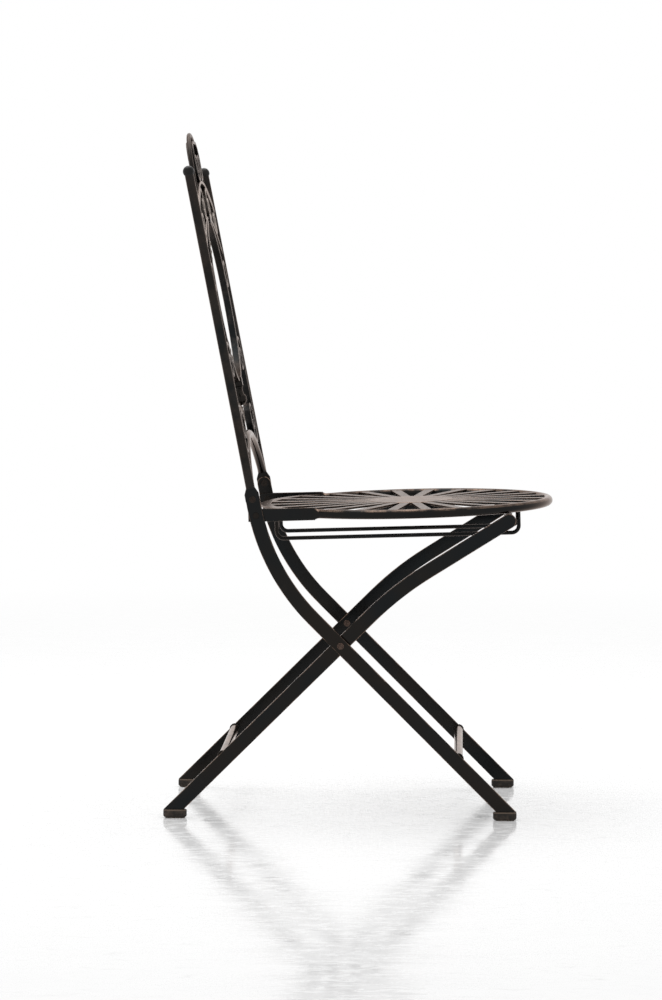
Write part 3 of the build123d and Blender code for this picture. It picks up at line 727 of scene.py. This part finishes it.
def cast_leaf(axes, length, half_width, half_depth, leaves):
    """Whole cast leaf, both faces alike, in place."""
    shape = bmesh.new()
    leaf_half(shape, length, half_width, half_depth, leaves)
    everything = shape.verts[:] + shape.edges[:] + shape.faces[:]
    bmesh.ops.mirror(shape, geom=everything, axis="Z", merge_dist=LEAF_MERGE)
    bmesh.ops.remove_doubles(shape, verts=shape.verts, dist=LEAF_MERGE)
    bmesh.ops.dissolve_degenerate(shape, dist=MERGE_DISTANCE, edges=shape.edges)
    bmesh.ops.recalc_face_normals(shape, faces=shape.faces)
    bmesh.ops.transform(shape, matrix=axes, verts=shape.verts)
    return shape


def join_shapes(shapes):
    """One bmesh that holds several."""
    whole = bmesh.new()
    for shape in shapes:
        mesh = bpy.data.meshes.new("part_of_piece")
        shape.to_mesh(mesh)
        shape.free()
        whole.from_mesh(mesh)
        bpy.data.meshes.remove(mesh)
    return whole


def fix_order(shape):
    """Sort corners and faces by place, because a spin leaves them in another order each run."""
    verts = sorted(shape.verts, key=lambda vert: vert.co.to_tuple(SORT_DIGITS))
    faces = sorted(shape.faces, key=lambda face: face.calc_center_median().to_tuple(SORT_DIGITS))
    for parts, ordered in ((shape.verts, verts), (shape.faces, faces)):
        ranks = {part: rank for rank, part in enumerate(ordered)}
        parts.sort(key=ranks.get)


def turned(profile, axes):
    """Solid turned about the Y axis of the given axes, from pairs of radius and height."""
    shape = bmesh.new()
    verts = [shape.verts.new((radius, height, 0)) for radius, height in profile]
    edges = [shape.edges.new(pair) for pair in zip(verts, verts[1:])]
    bmesh.ops.spin(
        shape, geom=verts + edges, cent=(0, 0, 0), axis=(0, 1, 0), angle=2 * pi, steps=TURN_STEPS,
        use_merge=True)
    bmesh.ops.remove_doubles(shape, verts=shape.verts, dist=MERGE_DISTANCE)
    bmesh.ops.recalc_face_normals(shape, faces=shape.faces)
    bmesh.ops.transform(shape, matrix=axes, verts=shape.verts)
    fix_order(shape)
    return shape


def swelling(middle, radii, degrees):
    """Pairs of radius and height along an arc of an ellipse."""
    return [(middle[0] + radii[0] * cos(radians(a)), middle[1] + radii[1] * sin(radians(a)))
            for a in degrees]


def fleur_stem(axes, leaves):
    """Turned knot with a groove round its middle, and the stem above it with a bead half way up."""
    knot = leaves.knot_radius
    stem = leaves.stem_radius
    half_way = (leaves.stem_length + knot) / 2
    bottom = swelling((0, 0), (knot, knot), range(-90, -9, 10))
    groove = [(KNOT_GROOVE * knot, 0.0)]
    top = swelling((0, 0), (knot, knot), range(10, 51, 10))
    bead_radii = (BEAD_SWELL * stem, BEAD_HEIGHT * stem)
    bead = swelling((STEM_WAIST * stem, half_way), bead_radii, range(-60, 61, 20))
    end = [(stem, leaves.stem_length), (0.0, leaves.stem_length)]
    return turned(bottom + groove + top + bead + end, axes)


def leaf_room(node, axes, leaves):
    """Corners of a leaf's node along the back, its middle depth, and its half depth under the rib."""
    low, high = span_in(node, axes)
    return low, high, (low.z + high.z) / 2, (high.z - low.z) / 2 - leaves.rib_height


class CHAIR_OT_leaves(Operator):
    """Model the leaves, the palmette and the fleur with ribs and veins"""

    bl_idname = "chair.leaves"
    bl_label = "Leaves"

    def execute(self, context):
        leaves = context.scene.chair_leaves
        axes = back_frame_axes()
        for node, turn in (("hanging_leaf", pi), ("standing_leaf", 0.0)):
            low, high, depth, half_depth = leaf_room(node, axes, leaves)
            root = high.y if turn else low.y
            place = axes @ Matrix.Translation((0, root, depth)) @ Matrix.Rotation(turn, 4, "Z")
            shape = cast_leaf(place, high.y - low.y, high.x, half_depth, leaves)
            add_piece(f"cast_{node}", shape, body_of(node), slot_of(node), (node,))
        self.palmette(axes, leaves)
        self.fleur(axes, leaves)
        return {"FINISHED"}

    def spray(self, place, length, side_length, half_width, half_depth, spread, leaves):
        """Three petals from one root, the middle one straight and the others leaning out."""
        petals = ((0.0, length), (-spread, side_length), (spread, side_length))
        return [cast_leaf(place @ Matrix.Rotation(lean, 4, "Z"), reach, half_width, half_depth, leaves)
                for lean, reach in petals]

    def palmette(self, axes, leaves):
        """Palmette that fills the room between the two rails."""
        node = "palmette_leaf"
        low, high, depth, half_depth = leaf_room(node, axes, leaves)
        height = high.y - low.y
        place = axes @ Matrix.Translation((0, low.y, depth))
        shapes = self.spray(
            place, height, PALMETTE_SIDE * height, leaves.palmette_width, half_depth,
            leaves.palmette_spread, leaves)
        add_piece(f"cast_{node}", join_shapes(shapes), body_of(node), slot_of(node), (node,))

    def fleur(self, axes, leaves):
        """Fleur that hangs by its stem from the medallion, with its middle petal on the bottom arch."""
        node = "fleur"
        low, high = span_in(node, axes)
        knot = high.y - leaves.stem_length
        length = knot - low.y
        _, _, depth, half_depth = leaf_room("standing_leaf", axes, leaves)
        root = axes @ Matrix.Translation((0, knot, depth)) @ Matrix.Rotation(pi, 4, "Z")
        shapes = self.spray(
            root, length, length, leaves.fleur_width, half_depth, leaves.fleur_spread, leaves)
        middle = axes @ Matrix.Translation((0, knot, (low.z + high.z) / 2))
        shapes.append(fleur_stem(middle, leaves))
        add_piece(f"cast_{node}", join_shapes(shapes), body_of(node), slot_of(node), (node,))


def weld_ring(place, radius, welds):
    """Rippled bead round a bar, about the Z axis of the given place."""
    shape = bmesh.new()
    bmesh.ops.create_circle(shape, cap_ends=False, segments=WELD_SIDES, radius=welds.bead)
    bmesh.ops.rotate(shape, verts=shape.verts, cent=(0, 0, 0), matrix=Matrix.Rotation(pi / 2, 3, "X"))
    bmesh.ops.translate(shape, verts=shape.verts, vec=(radius, 0, 0))
    bmesh.ops.spin(
        shape, geom=shape.verts[:] + shape.edges[:], cent=(0, 0, 0), axis=(0, 0, 1), angle=2 * pi,
        steps=WELD_STEPS, use_merge=True)
    ripples = round(2 * pi * radius / welds.pitch)
    for vert in shape.verts:
        angle = atan2(vert.co.y, vert.co.x)
        core = Vector((radius * cos(angle), radius * sin(angle), 0))
        vert.co = core + (vert.co - core) * (1 + WELD_RIPPLE * cos(ripples * angle))
    bmesh.ops.recalc_face_normals(shape, faces=shape.faces)
    bmesh.ops.transform(shape, matrix=place, verts=shape.verts)
    fix_order(shape)
    return shape


class CHAIR_OT_welds(Operator):
    """Weld the two stretchers to the legs with rippled beads"""

    bl_idname = "chair.welds"
    bl_label = "Welds"

    def execute(self, context):
        welds = context.scene.chair_welds
        sideways = Matrix.Rotation(pi / 2, 4, "X")
        for node in STRETCHER_NODES:
            low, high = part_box(node)
            middle = (low + high) / 2
            radius = (high.z - low.z) / 2
            inset = WELD_SINK * welds.bead
            places = [Matrix.Translation((middle.x, y, middle.z)) @ sideways
                      for y in (low.y + inset, high.y - inset)]
            shapes = [weld_ring(place, radius, welds) for place in places]
            add_piece(f"welds_{node}", join_shapes(shapes), body_of(node), slot_of(node))
        return {"FINISHED"}


# Studio


def floor_material(studio):
    """Pale floor with a soft, broken reflection, fading to white away from the chair."""
    material, tree, shader = new_material("studio_floor")
    specks = noise(tree, scale=60.0, detail=6.0, roughness=0.75, distortion=0.8, stretch=(3, 1, 1))
    worn = [SPECK_SHADE * c for c in studio.floor]
    colour = blend_colours(tree, ramp(tree, specks, low=0.58, high=0.72), studio.floor, worn)
    tree.links.new(colour, shader.inputs["Base Color"])
    streaks = noise(tree, scale=12.0, detail=5.0, roughness=0.65, distortion=0.6, stretch=(5, 1, 1))
    dulled = ramp(tree, streaks, low=0.35, high=0.65, start=0.06, end=0.18)
    tree.links.new(dulled, shader.inputs["Roughness"])
    grain = noise(tree, scale=70.0, detail=6.0, roughness=0.75, distortion=0.7, stretch=(2.5, 1, 1))
    shine = ramp(tree, grain, low=0.44, high=0.56, start=0.02, end=0.85)
    tree.links.new(shine, shader.inputs["Specular IOR Level"])
    ripples = noise(tree, scale=40.0, detail=4.0, stretch=(3, 1, 1))
    bump(tree, shader, ripples, distance=0.002, strength=0.1)
    white = add_node(tree, "ShaderNodeEmission")
    place = add_node(tree, "ShaderNodeTexCoord")
    reach = add_node(tree, "ShaderNodeVectorMath", operation="LENGTH")
    tree.links.new(place.outputs["Object"], reach.inputs[0])
    far = ramp(tree, reach.outputs["Value"], low=studio.fade_start, high=studio.fade_end)
    mix = add_node(tree, "ShaderNodeMixShader")
    tree.links.new(far, mix.inputs["Fac"])
    tree.links.new(shader.outputs["BSDF"], mix.inputs[1])
    tree.links.new(white.outputs["Emission"], mix.inputs[2])
    tree.links.new(mix.outputs["Shader"], tree.nodes["Material Output"].inputs["Surface"])
    return material


def studio_floor(studio):
    """Floor that the chair stands on."""
    shape = bmesh.new()
    bmesh.ops.create_grid(shape, x_segments=1, y_segments=1, size=studio.floor_size / 2)
    mesh = bpy.data.meshes.new("studio_floor")
    shape.to_mesh(mesh)
    shape.free()
    mesh.materials.append(floor_material(studio))
    floor = bpy.data.objects.new("studio_floor", mesh)
    bpy.context.scene.collection.objects.link(floor)


def studio_world(studio):
    """White room: full white to the eye and in reflections, softer as light."""
    world = bpy.data.worlds.new("studio_room")
    world.use_nodes = True
    bpy.context.scene.world = world
    tree = world.node_tree
    shade = tree.nodes["Background"]
    shade.inputs["Color"].default_value = (1, 1, 1, 1)
    path = add_node(tree, "ShaderNodeLightPath")
    seen = combine(tree, "MAXIMUM", path.outputs["Is Camera Ray"], path.outputs["Is Glossy Ray"])
    seen = combine(tree, "MAXIMUM", seen, path.outputs["Is Transmission Ray"])
    strength = ramp(tree, seen, low=0.0, high=1.0, start=studio.daylight, end=1.0)
    tree.links.new(strength, shade.inputs["Strength"])


def studio_softbox(studio):
    """Large soft lamp above and behind the chair."""
    lamp = bpy.data.lights.new("overhead_softbox", "AREA")
    lamp.shape = "RECTANGLE"
    lamp.size, lamp.size_y = studio.softbox_size
    lamp.energy = studio.softbox
    softbox = bpy.data.objects.new("overhead_softbox", lamp)
    softbox.location = studio.softbox_place
    softbox.rotation_euler = (-softbox.location).to_track_quat("-Z", "Y").to_euler()
    bpy.context.scene.collection.objects.link(softbox)


def studio_camera(studio):
    """Camera at the photograph's viewing angle."""
    data = bpy.data.cameras.new("studio_camera")
    data.sensor_width = SENSOR_WIDTH
    data.lens = studio.lens
    camera = bpy.data.objects.new("studio_camera", data)
    camera.location = studio.eye
    camera.rotation_euler = (pi / 2 - studio.pitch, 0, studio.yaw)
    bpy.context.scene.collection.objects.link(camera)
    bpy.context.scene.camera = camera


class CHAIR_OT_stage(Operator):
    """Set the floor, the light and the camera"""

    bl_idname = "chair.stage"
    bl_label = "Stage"

    def execute(self, context):
        studio = context.scene.chair_studio
        context.scene.view_settings.view_transform = "Standard"
        studio_floor(studio)
        studio_world(studio)
        studio_softbox(studio)
        studio_camera(studio)
        return {"FINISHED"}


STEPS = (CHAIR_OT_finishes, CHAIR_OT_legs, CHAIR_OT_feet, CHAIR_OT_rivets, CHAIR_OT_seat,
         CHAIR_OT_scrollwork, CHAIR_OT_leaves, CHAIR_OT_welds, CHAIR_OT_stage)
SETTINGS = {"chair_finish": ChairFinish, "chair_edges": ChairEdges, "chair_leaves": ChairLeaves,
            "chair_welds": ChairWelds, "chair_studio": ChairStudio}


class CHAIR_PT_build(Panel):
    """Sidebar panel that lists the steps and the sizes"""

    bl_idname = "CHAIR_PT_build"
    bl_label = "Folding Garden Chair"
    bl_space_type = "VIEW_3D"
    bl_region_type = "UI"
    bl_category = "Chair"

    def draw(self, context):
        for step in STEPS:
            self.layout.operator(step.bl_idname)
        for name, group in SETTINGS.items():
            box = self.layout.box()
            for key in group.__annotations__:
                box.prop(getattr(context.scene, name), key)


def register():
    """Register the classes and hang the settings on the scene."""
    for group in SETTINGS.values():
        bpy.utils.register_class(group)
    for name, group in SETTINGS.items():
        setattr(bpy.types.Scene, name, PointerProperty(type=group))
    for cls in (*STEPS, CHAIR_PT_build):
        bpy.utils.register_class(cls)


def unregister():
    """Take the classes and the settings away again."""
    for cls in (CHAIR_PT_build, *reversed(STEPS)):
        bpy.utils.unregister_class(cls)
    for name, group in SETTINGS.items():
        delattr(bpy.types.Scene, name)
        bpy.utils.unregister_class(group)


def main():
    """Build the chair step by step."""
    register()
    bpy.ops.chair.finishes()
    bpy.ops.chair.legs()
    bpy.ops.chair.feet()
    bpy.ops.chair.rivets()
    bpy.ops.chair.seat()
    bpy.ops.chair.scrollwork()
    bpy.ops.chair.leaves()
    bpy.ops.chair.welds()
    bpy.ops.chair.stage()


if __name__ == "__main__":
    main()
